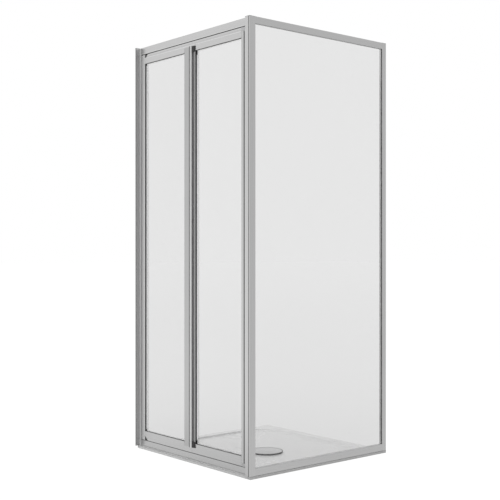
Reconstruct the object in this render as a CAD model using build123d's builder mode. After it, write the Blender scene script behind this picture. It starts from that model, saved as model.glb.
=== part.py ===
from build123d import *
import os

# Shower cabin for a corner: thin tray, framed bifold door, framed side panel, domed waste cover.
# X runs along the door, Y from the door into the cabin, Z up. The origin is the centre of the
# tray's underside. The walls are at -X and +Y, the door faces -Y and the side panel +X.
# Door sizes are distances from the front corner along the door, and setbacks from the tray's
# front edge into the cabin. All sizes in millimetres.

os.makedirs("parts", exist_ok=True)

# Tray
tray_width = 812
tray_depth = 800
tray_height = 12
tray_rim = 38
tray_floor = 4.5
tray_basin_radius = 130
tray_edge_round = 1.5
tray_step_width = 2
tray_step_height = 2.2
tray_draft = 12

# Whole cabin
cabin_height = 1850
cap_thickness = 1.5
wall = 1.6
edge_round = 0.8
glass_thickness = 4
glass_cover = 6
glass_play = 1
gasket_lip = 0.8
gasket_setback = 1.5
slip = 0.3

# Waste
waste_x = 63
waste_y = -20
waste_bore = 40
waste_hole = 45
waste_neck_play = 0.4
flange_radius = 56
flange_thickness = 2.5
flange_round = 1
flange_seat = 1
strainer_thickness = 1.5
strainer_slot = 6
strainer_slot_length = 16
strainer_slot_circle = 24
strainer_slots = 8
stem_radius = 5
stem_play = 0.05
hub_radius = 9
hub_height = 5
cover_radius = 74
cover_gap = 3.6
cover_edge = 2
cover_rise = 5.5
cover_shell = 2

# Corner post
post_face_width = 27.6
post_stand_out = 5
post_side_width = 31
post_flange_thickness = 13
post_body = 18.5
post_round = 1.2
post_groove_place = 5.8
post_groove_width = 1.5
post_groove_depth = 1.2
panel_glass_inset = 3.5

# Door leaves
leaf_setback = 9.5
leaf_thickness = 17.5
leaf_glass_inset = 10.5
leaf_foot = 42
leaf_head_gap = 3
leaf_camber = 1
cap_profile_height = 21
cap_groove_drop = 11
cap_groove_width = 4
cap_groove_depth = 0.8
rail_top_height = 21
rail_bottom_height = 41
rail_bottom_bar = 23
nose_round = 7
inner_round = 1.2
pivot_stile_width = 31
hinge_stile_width = 34
second_stile_width = 13
closing_stile_width = 44.3
closing_round = 4
grip_place = 26.4
grip_width = 3.6
grip_depth = 3
bead_height = 3.5
bead_stand_out = 0.7

# Header, sill, jamb and wall profiles
track_height = 32
track_depth = 17.5
sill_height = 28
channel_width = 14
channel_height = 20
sill_channel_depth = 14
jamb_depth = 6.8
wall_profile_depth = 6
wall_profile_stand_out = 14
wall_profile_round = 2.5
wall_profile_tail = 28.5
wall_screw_radius = 2.5
wall_screw_inset = 150
wall_screw_count = 4
panel_wall_width = 25
panel_top_height = 28
panel_bottom_height = 29.5

# Pivots, hinge and guides
pin_radius = 3
pin_play = 0.05
pin_seat_play = 0.02
pivot_inset = 20
pivot_gap = 2.2
guide_inset = 4.8
closing_gap = 1.2
magnet_stand_out = 3.8
strike_stand_out = 0.7
strike_slot_depth = 0.7
strip_width = 7
magnet_root_depth = 1.3
hinge_setback = 4.5
knuckle_radius = 8
knuckle_bore = 6
hinge_recess = 22
second_gap = 11
knuckle_foot_width = 7
knuckle_web = 3
knuckle_web_setback = 2.5
knuckle_end_gap = 1
block_height = 25
block_reach = 24
block_toe = 3
block_nose = 2
knuckle_play = 0.5
bush_length = 20
pin_core = 5
pivot_block_length = 30
pivot_block_play = 0.1
pivot_entry = 14
carrier_height = 30
roller_radius = 6.7
roller_height = 10
roller_round = 1
roller_lift = 5
roller_head_radius = 4.5
roller_head = 1.5
guide_carrier_foot = 13
guide_carrier_head = 17
corner_block_length = 24
corner_block_height = 20
corner_block_play = 0.15
meeting_gap = 0.4
pivot_screw_inset = 8
pivot_screw_head = 2.8
pivot_screw_head_height = 1.2
pivot_screw_recess = 1.2
seal_width = 5
seal_drop = 1.4
seal_root = 2.6
hinge_seal_thickness = 1.5
hinge_seal_inset = 12

# Jamb screws
jamb_screw_count = 3
jamb_screw_inset = 200
jamb_screw_radius = 1.5
jamb_screw_head = 2.6
jamb_screw_head_height = 1.8
cut_over = 5

# Places that follow from the sizes
corner_x = tray_width / 2
front_y = -tray_depth / 2
back_y = tray_depth / 2
face_y = front_y + leaf_setback
mid_y = face_y + leaf_thickness / 2
rear_y = face_y + leaf_thickness
door_glass_y = face_y + leaf_glass_inset + glass_thickness / 2
groove_width = glass_thickness + 2 * glass_play
glass_hold = glass_cover - glass_play
track_y = mid_y
hinge_y = front_y + hinge_setback
panel_glass_x = corner_x - panel_glass_inset - glass_thickness / 2
post_rear_y = front_y - post_stand_out + post_side_width
jamb_face_x = corner_x - tray_width + wall_profile_depth + jamb_depth
wall_x = corner_x - tray_width
leaf_1_edge_x = jamb_face_x + pivot_gap
pivot_x = leaf_1_edge_x + pivot_inset
post_body_x = corner_x - post_body
strike_x = post_body_x - strike_stand_out
magnet_x = strike_x - closing_gap
closing_x = magnet_x - magnet_stand_out
guide_x = closing_x - guide_inset
hinge_x = (pivot_x + guide_x) / 2
leaf_1_inner_x = hinge_x - hinge_recess
leaf_2_inner_x = hinge_x + second_gap
leaf_1_glass_left = leaf_1_edge_x + pivot_stile_width
leaf_1_glass_right = leaf_1_inner_x - hinge_stile_width
leaf_2_glass_left = leaf_2_inner_x + second_stile_width
leaf_2_glass_right = closing_x - closing_stile_width
header_foot = cabin_height - track_height
sill_top = tray_height + sill_height
leaf_head = header_foot - leaf_head_gap
cap_foot = leaf_head - cap_profile_height
rail_top_foot = cap_foot - rail_top_height
rail_bottom_head = leaf_foot + rail_bottom_height
bar_head = leaf_foot + rail_bottom_bar
knuckle_low = bar_head + knuckle_end_gap
knuckle_high = cap_foot - knuckle_end_gap
panel_wall_y = back_y - panel_wall_width
panel_top_foot = cabin_height - panel_top_height
panel_bottom_head = tray_height + panel_bottom_height


def save(piece, label):
    """Label a finished piece and write it under that name."""
    piece.part.label = label
    export_step(piece.part, f"parts/{label}.step")


# The tray is one moulding with a shallow basin, round in the corners, and the waste hole. A small
# step runs round under the profiles.
with BuildPart() as tray:
    with BuildSketch():
        Rectangle(tray_width, tray_depth)
    extrude(amount=tray_height)
    with BuildSketch(Plane.XY.offset(tray_height)):
        RectangleRounded(tray_width - 2 * tray_rim, tray_depth - 2 * tray_rim, tray_basin_radius)
    extrude(amount=-(tray_height - tray_floor), taper=tray_draft, mode=Mode.SUBTRACT)
    fillet(tray.edges().group_by(Axis.Z)[-1], tray_edge_round)
    with BuildSketch(Plane.XY.offset(tray_height)):
        Rectangle(tray_width, tray_depth)
        Rectangle(tray_width - 2 * tray_step_width, tray_depth - 2 * tray_step_width, mode=Mode.SUBTRACT)
    extrude(amount=-tray_step_height, mode=Mode.SUBTRACT)
    with Locations((waste_x, waste_y)):
        Hole(waste_hole)
save(tray, "shower_tray")

# The waste flange lies on the floor of the basin, with its neck in the hole.
with BuildPart() as flange:
    with Locations((waste_x, waste_y, tray_floor)):
        Cylinder(flange_radius, flange_thickness, align=(Align.CENTER, Align.CENTER, Align.MIN))
    fillet(flange.edges().group_by(Axis.Z)[-1], flange_round)
    with Locations((waste_x, waste_y)):
        Cylinder(waste_hole - waste_neck_play, tray_floor, align=(Align.CENTER, Align.CENTER, Align.MIN))
        Hole(waste_bore)
    with BuildSketch(Plane.XY.offset(tray_floor + flange_seat)):
        with Locations((waste_x, waste_y)):
            Circle(waste_hole)
    extrude(amount=flange_thickness, mode=Mode.SUBTRACT)
save(flange, "waste_flange")

# The strainer drops into the flange. Its hub holds the stem of the cover.
strainer_foot = tray_floor + flange_seat
with BuildPart() as strainer:
    with Locations((waste_x, waste_y, strainer_foot)):
        Cylinder(waste_hole - waste_neck_play, strainer_thickness,
                 align=(Align.CENTER, Align.CENTER, Align.MIN))
        Cylinder(hub_radius, hub_height, align=(Align.CENTER, Align.CENTER, Align.MIN))
    with BuildSketch(Plane.XY.offset(strainer_foot)):
        with Locations((waste_x, waste_y)):
            with PolarLocations(strainer_slot_circle, strainer_slots):
                SlotOverall(strainer_slot_length, strainer_slot)
            Circle(stem_radius + stem_play)
    extrude(amount=hub_height, mode=Mode.SUBTRACT)
save(strainer, "waste_strainer")

# The cover is a shallow dome over a gap all round, turned about its stem.
cover_foot = tray_floor + cover_gap
cover_rim = cover_foot + cover_edge
cover_top = cover_rim + cover_rise
with BuildPart() as cover:
    with BuildSketch(Plane.XZ):
        with BuildLine():
            ThreePointArc(
                (-cover_radius, cover_rim), (0, cover_top), (cover_radius, cover_rim))
            Line((cover_radius, cover_rim), (cover_radius, cover_foot))
            ThreePointArc(
                (cover_radius, cover_foot), (0, cover_top - cover_shell), (-cover_radius, cover_foot))
            Line((-cover_radius, cover_foot), (-cover_radius, cover_rim))
        make_face()
        with Locations((-cover_radius, 0)):
            Rectangle(2 * cover_radius, 2 * cover_top, mode=Mode.SUBTRACT)
    revolve(axis=Axis.Z)
cover.part.position = (waste_x, waste_y, 0)
save(cover, "waste_cover")

# The stem is pressed under the dome and plugs into the hub of the strainer.
with BuildPart() as stem:
    with Locations((waste_x, waste_y, strainer_foot)):
        Cylinder(stem_radius, cover_top - cover_shell - stem_play - strainer_foot,
                 align=(Align.CENTER, Align.CENTER, Align.MIN))
    chamfer(stem.edges().group_by(Axis.Z)[0], edge_round)
save(stem, "waste_cover_stem")


def hollow(width, depth, place):
    """A chamber in the section being drawn."""
    with Locations(place):
        Rectangle(width, depth, mode=Mode.SUBTRACT)


# The corner post: a lip at the front corner, a strike face with a slot for its strip, and a groove
# for the glass of the side panel.
post_front_y = front_y - post_stand_out
flange_rear_y = post_front_y + post_flange_thickness
post_glass_y = post_rear_y - glass_cover
strike_y = track_y
lip_width = post_groove_place - post_groove_width / 2
lip_x = corner_x - lip_width
with BuildPart() as post:
    with BuildSketch(Plane.XY.offset(tray_height)):
        with BuildLine():
            Polyline(
                (corner_x, post_front_y),
                (corner_x, post_rear_y),
                (post_body_x, post_rear_y),
                (post_body_x, flange_rear_y),
                (lip_x, flange_rear_y),
                (lip_x, post_front_y),
                close=True)
        make_face()
        fillet(vertices().group_by(Axis.X)[-1].sort_by(Axis.Y)[0], post_round)
        hollow(groove_width, post_rear_y - post_glass_y,
               (panel_glass_x, (post_rear_y + post_glass_y) / 2))
        hollow(2 * strike_slot_depth, strip_width, (post_body_x, strike_y))
        hollow(lip_width - 2 * wall, post_flange_thickness,
               (corner_x - lip_width / 2, post_front_y + wall + post_flange_thickness / 2))
        inner_left_x = post_body_x + strike_slot_depth + wall
        inner_right_x = panel_glass_x - groove_width / 2 - wall
        hollow(inner_right_x - inner_left_x, post_rear_y - flange_rear_y - 2 * wall,
               ((inner_left_x + inner_right_x) / 2, (post_rear_y + flange_rear_y) / 2))
    extrude(amount=cabin_height - cap_thickness - tray_height)
save(post, "corner_post")

# The strike profile on the post, which the door closes behind. A groove marks the joint between them.
strike_edge_x = corner_x - post_face_width
with BuildPart() as strike_profile:
    with BuildSketch(Plane.XY.offset(tray_height)):
        with Locations(((strike_edge_x + lip_x) / 2, (post_front_y + flange_rear_y) / 2)):
            Rectangle(lip_x - strike_edge_x, post_flange_thickness)
        fillet(vertices().sort_by(Axis.Y)[:2].sort_by(Axis.X)[0], post_round)
        hollow(2 * post_groove_width, 2 * post_groove_depth, (lip_x, post_front_y))
        chamber_left_x = strike_edge_x + wall
        chamber_end_x = lip_x - post_groove_width - wall
        hollow(chamber_end_x - chamber_left_x, post_flange_thickness - 2 * wall,
               ((chamber_left_x + chamber_end_x) / 2, (post_front_y + flange_rear_y) / 2))
    extrude(amount=cabin_height - cap_thickness - tray_height)
save(strike_profile, "strike_profile")

# The strip in the post that the magnetic edge of the door meets.
strip_foot = leaf_foot + guide_carrier_foot + 2 * edge_round
strip_head = leaf_head - guide_carrier_head - 2 * edge_round
with BuildPart() as strike:
    with BuildSketch(Plane.XY.offset(strip_foot)):
        with Locations((post_body_x + (strike_slot_depth - strike_stand_out) / 2, strike_y)):
            Rectangle(strike_slot_depth + strike_stand_out, strip_width)
    extrude(amount=strip_head - strip_foot)
save(strike, "strike_strip")

# The door's wall profile: an open channel on the wall with a closed nose in front. Its web has the
# holes of the wall screws.
profile_front_y = front_y - wall_profile_stand_out
profile_rear_y = front_y + wall_profile_tail
nose_depth = leaf_setback + wall_profile_stand_out
profile_inner_x = wall_x + wall_profile_depth
screw_span = (cabin_height - tray_height - 2 * wall_screw_inset) / (wall_screw_count - 1)
screw_heights = [tray_height + wall_screw_inset + n * screw_span for n in range(wall_screw_count)]
with BuildPart() as wall_profile:
    with BuildSketch(Plane.XY.offset(tray_height)):
        with BuildLine():
            Polyline(
                (wall_x, profile_front_y),
                (wall_x, profile_rear_y),
                (profile_inner_x, profile_rear_y),
                (profile_inner_x, profile_front_y),
                close=True)
        make_face()
        fillet(vertices().group_by(Axis.Y)[0], wall_profile_round)
        hollow(wall_profile_depth - 2 * wall, nose_depth - 2 * wall,
               (wall_x + wall_profile_depth / 2, profile_front_y + nose_depth / 2))
        channel = profile_rear_y - profile_front_y - nose_depth - wall
        hollow(wall_profile_depth, channel,
               (wall_x + wall + wall_profile_depth / 2, profile_front_y + nose_depth + channel / 2))
    extrude(amount=cabin_height - cap_thickness - tray_height)
    with Locations([Location((wall_x, track_y, z), (0, 90, 0)) for z in screw_heights]):
        Cylinder(wall_screw_radius, 2 * (wall + edge_round), mode=Mode.SUBTRACT)
save(wall_profile, "door_wall_profile")

# The jamb closes the wall profile. Its lip overlaps the profile's rear wall and is screwed to it.
jamb_outer_x = profile_inner_x
jamb_rear_y = face_y + track_depth
with BuildPart() as jamb:
    with BuildSketch(Plane.XY.offset(tray_height)):
        with BuildLine():
            Polyline(
                (jamb_outer_x, face_y),
                (jamb_outer_x, jamb_rear_y),
                (jamb_face_x, jamb_rear_y),
                (jamb_face_x, face_y),
                close=True)
        make_face()
        fillet(vertices().group_by(Axis.X)[-1], edge_round)
        hollow(jamb_depth - 2 * wall, track_depth - 2 * wall,
               (jamb_outer_x + jamb_depth / 2, face_y + track_depth / 2))
    extrude(amount=cabin_height - tray_height)
    jamb_span = (cabin_height - tray_height - 2 * jamb_screw_inset) / (jamb_screw_count - 1)
    jamb_heights = [tray_height + jamb_screw_inset + n * jamb_span for n in range(jamb_screw_count)]
    jamb_screw_x = jamb_outer_x + jamb_depth / 2
    with Locations([Location((jamb_screw_x, jamb_rear_y, z), (90, 0, 0)) for z in jamb_heights]):
        Cylinder(jamb_screw_radius, 2 * (wall + edge_round), mode=Mode.SUBTRACT)
save(jamb, "door_jamb")

# Pan head screws in the jamb, seen from inside the cabin.
with BuildPart() as jamb_screws:
    for z in jamb_heights:
        with BuildSketch(Plane((jamb_screw_x, jamb_rear_y, z), x_dir=(-1, 0, 0), z_dir=(0, 1, 0))):
            Circle(jamb_screw_head)
        extrude(amount=jamb_screw_head_height)
        with BuildSketch(Plane((jamb_screw_x, jamb_rear_y, z), x_dir=(-1, 0, 0), z_dir=(0, 1, 0))):
            Circle(jamb_screw_radius - pin_seat_play)
        extrude(amount=-wall * 2)
    fillet(jamb_screws.edges().filter_by(GeomType.CIRCLE).group_by(Axis.Y)[-1], edge_round)
save(jamb_screws, "jamb_screws")


def track(label, foot, height, channel_foot, channel_depth, chamber_foot, chamber_height):
    """Header or sill: a profile with a channel for the guide roller and a closed chamber."""
    with BuildPart() as piece:
        with BuildSketch(Plane.YZ.offset(jamb_face_x)):
            with Locations((face_y + track_depth / 2, foot + height / 2)):
                Rectangle(track_depth, height)
            fillet(vertices(), edge_round)
            hollow(channel_width, channel_depth, (track_y, channel_foot + channel_depth / 2))
            hollow(track_depth - 2 * wall, chamber_height,
                   (face_y + track_depth / 2, chamber_foot + chamber_height / 2))
        extrude(amount=post_body_x - jamb_face_x)
    save(piece, label)


track("header_track", header_foot, track_height, header_foot, channel_height,
      header_foot + channel_height + wall, track_height - channel_height - 2 * wall)
sill_channel_foot = sill_top - sill_channel_depth
track("sill_track", tray_height, sill_height, sill_channel_foot, sill_channel_depth,
      tray_height + wall, sill_height - sill_channel_depth - 2 * wall)

# The pivot blocks fill the tracks at the wall side and hold the pins of leaf 1.
with BuildPart() as pivot_blocks:
    with Locations((pivot_x, track_y, header_foot), (pivot_x, track_y, sill_top - pivot_entry)):
        Box(pivot_block_length, channel_width - 2 * pivot_block_play, pivot_entry,
            align=(Align.CENTER, Align.CENTER, Align.MIN))
    fillet(pivot_blocks.edges().filter_by(Axis.Z), inner_round)
    with Locations((pivot_x, track_y)):
        Cylinder(pin_radius + pin_play, cabin_height, mode=Mode.SUBTRACT,
                 align=(Align.CENTER, Align.CENTER, Align.MIN))
save(pivot_blocks, "pivot_blocks")

# The side panel: wall profile, two rails, glass and gaskets.
with BuildPart() as panel_wall:
    with BuildSketch(Plane.XY.offset(tray_height)):
        with Locations((corner_x - post_body / 2, (panel_wall_y + back_y) / 2)):
            Rectangle(post_body, panel_wall_width)
        fillet(vertices().group_by(Axis.X)[-1].sort_by(Axis.Y)[0], 2 * post_round)
        pocket = glass_cover
        hollow(groove_width, pocket, (panel_glass_x, panel_wall_y + pocket / 2))
        web_y = panel_wall_y + pocket + wall
        hollow(post_body - 2 * wall, back_y - wall - web_y,
               (corner_x - post_body / 2, (back_y - wall + web_y) / 2))
        inner_chamber = inner_right_x - post_body_x - wall
        hollow(inner_chamber, pocket - wall,
               (post_body_x + wall + inner_chamber / 2, panel_wall_y + wall + (pocket - wall) / 2))
    extrude(amount=cabin_height - cap_thickness - tray_height)
    with Locations([Location((corner_x - post_body / 2, back_y, z), (90, 0, 0)) for z in screw_heights]):
        Cylinder(wall_screw_radius, 2 * (wall + edge_round), mode=Mode.SUBTRACT)
save(panel_wall, "panel_wall_profile")


def panel_rail(label, foot, height, glass_side):
    """A rail of the side panel between post and wall profile, grooved towards the glass."""
    with BuildPart() as piece:
        with BuildSketch(Plane((0, post_rear_y, 0), x_dir=(-1, 0, 0), z_dir=(0, 1, 0))):
            with Locations((post_body / 2 - corner_x, foot + height / 2)):
                Rectangle(post_body, height)
            fillet(vertices(), edge_round)
            pocket = glass_cover
            groove_z = foot + pocket / 2 if glass_side < 0 else foot + height - pocket / 2
            hollow(groove_width, pocket, (-panel_glass_x, groove_z))
            chamber = height - pocket - 2 * wall
            chamber_z = foot + height - wall - chamber / 2 if glass_side < 0 else foot + wall + chamber / 2
            hollow(post_body - 2 * wall, chamber, (post_body / 2 - corner_x, chamber_z))
        extrude(amount=panel_wall_y - post_rear_y)
    save(piece, label)


panel_rail("panel_top_rail", panel_top_foot, panel_top_height, -1)
panel_rail("panel_bottom_rail", tray_height, panel_bottom_height, 1)


def pane(label, plane, width, height):
    """A sheet of toughened glass that reaches into the grooves round a clear opening."""
    with BuildPart() as piece:
        with BuildSketch(plane):
            RectangleRounded(width + 2 * glass_hold, height + 2 * glass_hold, edge_round)
        extrude(amount=glass_thickness / 2, both=True)
    save(piece, label)


def gasket(label, plane, width, height, reach):
    """Rubber frames on both sides of the glass. The outer one lines the opening towards the face."""
    with BuildPart() as piece:
        for face in (glass_thickness / 2, -glass_thickness / 2 - glass_play):
            with BuildSketch(plane.offset(face)):
                Rectangle(width + 2 * glass_cover - slip, height + 2 * glass_cover - slip)
                Rectangle(width - 2 * gasket_lip, height - 2 * gasket_lip, mode=Mode.SUBTRACT)
            extrude(amount=glass_play)
        with BuildSketch(plane.offset(glass_thickness / 2)):
            Rectangle(width, height)
            Rectangle(width - 2 * gasket_lip, height - 2 * gasket_lip, mode=Mode.SUBTRACT)
        extrude(amount=reach)
    save(piece, label)


panel_open_width = panel_wall_y - post_rear_y
panel_open_height = panel_top_foot - panel_bottom_head
panel_plane = Plane(
    (panel_glass_x, (panel_wall_y + post_rear_y) / 2, (panel_top_foot + panel_bottom_head) / 2),
    x_dir=(0, 1, 0), z_dir=(1, 0, 0))
pane("panel_glass", panel_plane, panel_open_width, panel_open_height)
gasket("panel_gaskets", panel_plane, panel_open_width, panel_open_height,
       panel_glass_inset - edge_round)

# Flat caps close the hollow profiles at the top.
with BuildPart() as caps:
    cap_z = cabin_height - cap_thickness
    with BuildSketch(Plane.XY.offset(cap_z)):
        with Locations((corner_x - post_face_width / 2, (post_front_y + flange_rear_y) / 2)):
            Rectangle(post_face_width, post_flange_thickness)
        with Locations((corner_x - post_body / 2, (flange_rear_y + post_rear_y) / 2)):
            Rectangle(post_body, post_rear_y - flange_rear_y)
        with Locations((wall_x + wall_profile_depth / 2, (profile_front_y + profile_rear_y) / 2)):
            Rectangle(wall_profile_depth, profile_rear_y - profile_front_y)
        with Locations((corner_x - post_body / 2, (panel_wall_y + back_y) / 2)):
            Rectangle(post_body, panel_wall_width)
    extrude(amount=cap_thickness)
    fillet(caps.edges().filter_by(Axis.Z).group_by(Axis.Y)[0], post_round)
save(caps, "profile_caps")


def stile(label, edge_x, glass_x, nose, camber, foot, head, slot=0):
    """An upright of a leaf: cambered face, round nose, chamber and a groove for the glass.

    With a slot for its strip it is the closing stile, and has a groove to pull the door by.
    """
    side = 1 if glass_x > edge_x else -1
    width = abs(glass_x - edge_x)
    with BuildPart() as piece:
        with BuildSketch(Plane.XY.offset(foot)):
            with BuildLine():
                Line((edge_x, rear_y), (edge_x, face_y))
                ThreePointArc(
                    (edge_x, face_y), ((edge_x + glass_x) / 2, face_y - camber), (glass_x, face_y))
                Line((glass_x, face_y), (glass_x, rear_y))
                Line((glass_x, rear_y), (edge_x, rear_y))
            make_face()
            fillet(vertices().group_by(Axis.X)[0 if side > 0 else -1], nose)
            fillet(vertices().group_by(Axis.X)[-1 if side > 0 else 0], edge_round)
            hollow(2 * glass_cover, groove_width, (glass_x, door_glass_y))
            chamber_end = width - glass_cover - wall
            spans = [(wall, chamber_end)]
            if slot:
                grip_start = grip_place - grip_width / 2
                grip_end = grip_place + grip_width / 2
                spans = [(wall, grip_start - wall), (grip_end + wall, chamber_end)]
            corner_round = max(nose - wall / 2, edge_round)
            for start, end in spans:
                with Locations((edge_x + side * (start + end) / 2, mid_y)):
                    RectangleRounded(end - start, leaf_thickness - 2 * wall,
                                     min(corner_round, (end - start) / 2 - edge_round), mode=Mode.SUBTRACT)
            if slot:
                hollow(2 * wall, slot, (edge_x, mid_y))
                hollow(grip_width, 2 * grip_depth, (edge_x + side * grip_place, face_y))
        extrude(amount=head - foot)
    save(piece, label)


def cope(left_x, right_x):
    """Cuts the head of a bottom rail back to a bar, where a stile stands on it."""
    with BuildSketch(Plane.XY.offset(bar_head)) as seat:
        with Locations(((left_x + right_x) / 2, mid_y)):
            Rectangle(right_x - left_x, leaf_thickness + 2 * cut_over)
    extrude(seat.sketch, amount=rail_bottom_height, mode=Mode.SUBTRACT)


def take_corner(level, up):
    """Takes the corner beside the pivot stile off a rail or cap, through its thickness."""
    with BuildSketch(Plane.XZ.offset(-rear_y - cut_over)) as corner:
        with BuildLine():
            Polyline((leaf_1_glass_left, level), (leaf_1_glass_left + corner_block_length, level),
                     (leaf_1_glass_left, level + up * corner_block_height), close=True)
        make_face()
    extrude(corner.sketch, amount=leaf_thickness + 2 * cut_over, mode=Mode.SUBTRACT)


def top_rail(label, left_x, right_x):
    """The rail over the glass of a leaf, between its stiles, with a bead along the glass."""
    with BuildPart() as piece:
        with BuildSketch(Plane.YZ.offset(left_x)):
            with Locations((mid_y, rail_top_foot + rail_top_height / 2)):
                Rectangle(leaf_thickness, rail_top_height)
            hollow(groove_width, glass_cover, (door_glass_y, rail_top_foot + glass_cover / 2))
            chamber = rail_top_height - glass_cover - 2 * wall
            hollow(leaf_thickness - 2 * wall, chamber,
                   (mid_y, rail_top_foot + glass_cover + wall + chamber / 2))
            with Locations((face_y, rail_top_foot + bead_height / 2 + edge_round)):
                Rectangle(2 * bead_stand_out, bead_height)
        extrude(amount=right_x - left_x)
    save(piece, label)


def bottom_rail(label, left_x, right_x, seat_left_x, seat_right_x, cornered):
    """The rail under the glass of a leaf. A bar of it runs on under the stile at the hinge."""
    with BuildPart() as piece:
        with BuildSketch(Plane.YZ.offset(left_x)):
            with Locations((mid_y, leaf_foot + rail_bottom_height / 2)):
                Rectangle(leaf_thickness, rail_bottom_height)
            fillet(vertices().group_by(Axis.Y)[0], edge_round)
            hollow(groove_width, glass_cover, (door_glass_y, rail_bottom_head - glass_cover / 2))
            chamber = rail_bottom_height - rail_bottom_bar - glass_cover - wall
            hollow(leaf_thickness - 2 * wall, chamber, (mid_y, bar_head + chamber / 2))
            bar_foot = leaf_foot + seal_root + wall
            hollow(leaf_thickness - 2 * wall, bar_head - wall - bar_foot,
                   (mid_y, (bar_head - wall + bar_foot) / 2))
            with Locations((face_y, rail_bottom_head - bead_height / 2 - edge_round)):
                Rectangle(2 * bead_stand_out, bead_height)
            hollow(seal_width - 2 * edge_round, 2 * seal_root, (mid_y, leaf_foot))
        extrude(amount=right_x - left_x)
        cope(seat_left_x, seat_right_x)
        if cornered:
            take_corner(leaf_foot, 1)
    save(piece, label)


def cap_profile(label, left_x, right_x, cornered):
    """The deep profile along the head of a leaf, over rail and stiles: a groove in its face."""
    with BuildPart() as piece:
        with BuildSketch(Plane.YZ.offset(left_x)):
            with Locations((mid_y, cap_foot + cap_profile_height / 2)):
                Rectangle(leaf_thickness, cap_profile_height)
            fillet(vertices().group_by(Axis.Y)[-1], edge_round)
            hollow(2 * cap_groove_depth, cap_groove_width, (face_y, leaf_head - cap_groove_drop))
            inner_depth = leaf_thickness - 2 * (wall + cap_groove_depth)
            hollow(inner_depth, cap_profile_height - 2 * wall, (mid_y, cap_foot + cap_profile_height / 2))
        extrude(amount=right_x - left_x)
        if cornered:
            take_corner(leaf_head, -1)
    save(piece, label)


def sweep_seal(label, left_x, right_x):
    """A rubber strip in the foot of a leaf that closes the gap over the sill."""
    with BuildPart() as piece:
        with BuildSketch(Plane.YZ.offset(left_x)):
            with Locations((mid_y, leaf_foot - seal_drop / 2)):
                Rectangle(seal_width, seal_drop)
            with Locations((mid_y, leaf_foot + (seal_root - slip) / 2)):
                Rectangle(seal_width - 2 * edge_round, seal_root - slip)
        extrude(amount=right_x - left_x)
    save(piece, label)


def leaf(label, glass_left, glass_right):
    """Glass and gaskets of a leaf, set in its clear opening."""
    plane = Plane(
        ((glass_left + glass_right) / 2, door_glass_y, (rail_top_foot + rail_bottom_head) / 2),
        x_dir=(1, 0, 0), z_dir=(0, -1, 0))
    width = glass_right - glass_left
    height = rail_top_foot - rail_bottom_head
    pane(label + "_glass", plane, width, height)
    gasket(label + "_gaskets", plane, width, height, leaf_glass_inset - gasket_setback)


# Leaf 1 hangs at the wall side. Its cap and bottom rail run from the pivot stile to the hinge.
meeting_left_x = hinge_x - meeting_gap / 2
meeting_right_x = hinge_x + meeting_gap / 2
stile("leaf_1_pivot_stile", leaf_1_edge_x, leaf_1_glass_left, nose_round, leaf_camber,
      leaf_foot, leaf_head)
stile("leaf_1_hinge_stile", leaf_1_inner_x, leaf_1_glass_right, inner_round, leaf_camber,
      bar_head, cap_foot)
top_rail("leaf_1_top_rail", leaf_1_glass_left, leaf_1_glass_right)
bottom_rail("leaf_1_bottom_rail", leaf_1_glass_left, meeting_left_x,
            leaf_1_glass_right, meeting_left_x, True)
cap_profile("leaf_1_cap", leaf_1_glass_left, meeting_left_x, True)
sweep_seal("leaf_1_sweep_seal", leaf_1_glass_left + corner_block_length, meeting_left_x)
leaf("leaf_1", leaf_1_glass_left, leaf_1_glass_right)

# Leaf 2 closes against the post. Its cap and bottom rail run from the hinge to the closing stile.
stile("leaf_2_hinge_stile", leaf_2_inner_x, leaf_2_glass_left, inner_round, bead_stand_out,
      bar_head, cap_foot)
stile("leaf_2_closing_stile", closing_x, leaf_2_glass_right, closing_round, leaf_camber,
      leaf_foot + guide_carrier_foot, leaf_head - guide_carrier_head, strip_width)
top_rail("leaf_2_top_rail", leaf_2_glass_left, leaf_2_glass_right)
bottom_rail("leaf_2_bottom_rail", meeting_right_x, leaf_2_glass_right,
            meeting_right_x, leaf_2_glass_left, False)
cap_profile("leaf_2_cap", meeting_right_x, leaf_2_glass_right, False)
sweep_seal("leaf_2_sweep_seal", meeting_right_x, leaf_2_glass_right)
leaf("leaf_2", leaf_2_glass_left, leaf_2_glass_right)

# Black corner blocks fill the corners taken off at the pivot side of leaf 1.
with BuildPart() as corner_blocks:
    for level, up in ((leaf_foot, 1), (leaf_head, -1)):
        with BuildSketch(Plane.XZ.offset(-rear_y)):
            with BuildLine():
                inset = corner_block_play
                Polyline((leaf_1_glass_left + inset, level),
                         (leaf_1_glass_left + corner_block_length - 2 * inset, level),
                         (leaf_1_glass_left + inset, level + up * (corner_block_height - 2 * inset)),
                         close=True)
            make_face()
        extrude(amount=leaf_thickness)
save(corner_blocks, "leaf_1_corner_blocks")

# Carriers in the pivot stile hold the pins, which turn in the pivot blocks.
chamber_right_x = leaf_1_glass_left - glass_cover - wall
carrier_left_x = leaf_1_edge_x + wall + nose_round
with BuildPart() as pivot_carriers:
    with Locations(((carrier_left_x + chamber_right_x) / 2, mid_y, leaf_head - carrier_height),
                   ((carrier_left_x + chamber_right_x) / 2, mid_y, leaf_foot)):
        Box(chamber_right_x - carrier_left_x, leaf_thickness - 2 * wall, carrier_height,
            align=(Align.CENTER, Align.CENTER, Align.MIN))
    fillet(pivot_carriers.edges().filter_by(Axis.Z).group_by(Axis.X)[-1], nose_round - wall / 2)
    with Locations((pivot_x, mid_y)):
        Cylinder(pin_radius + pin_seat_play, cabin_height, mode=Mode.SUBTRACT,
                 align=(Align.CENTER, Align.CENTER, Align.MIN))
save(pivot_carriers, "pivot_carriers")

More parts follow.
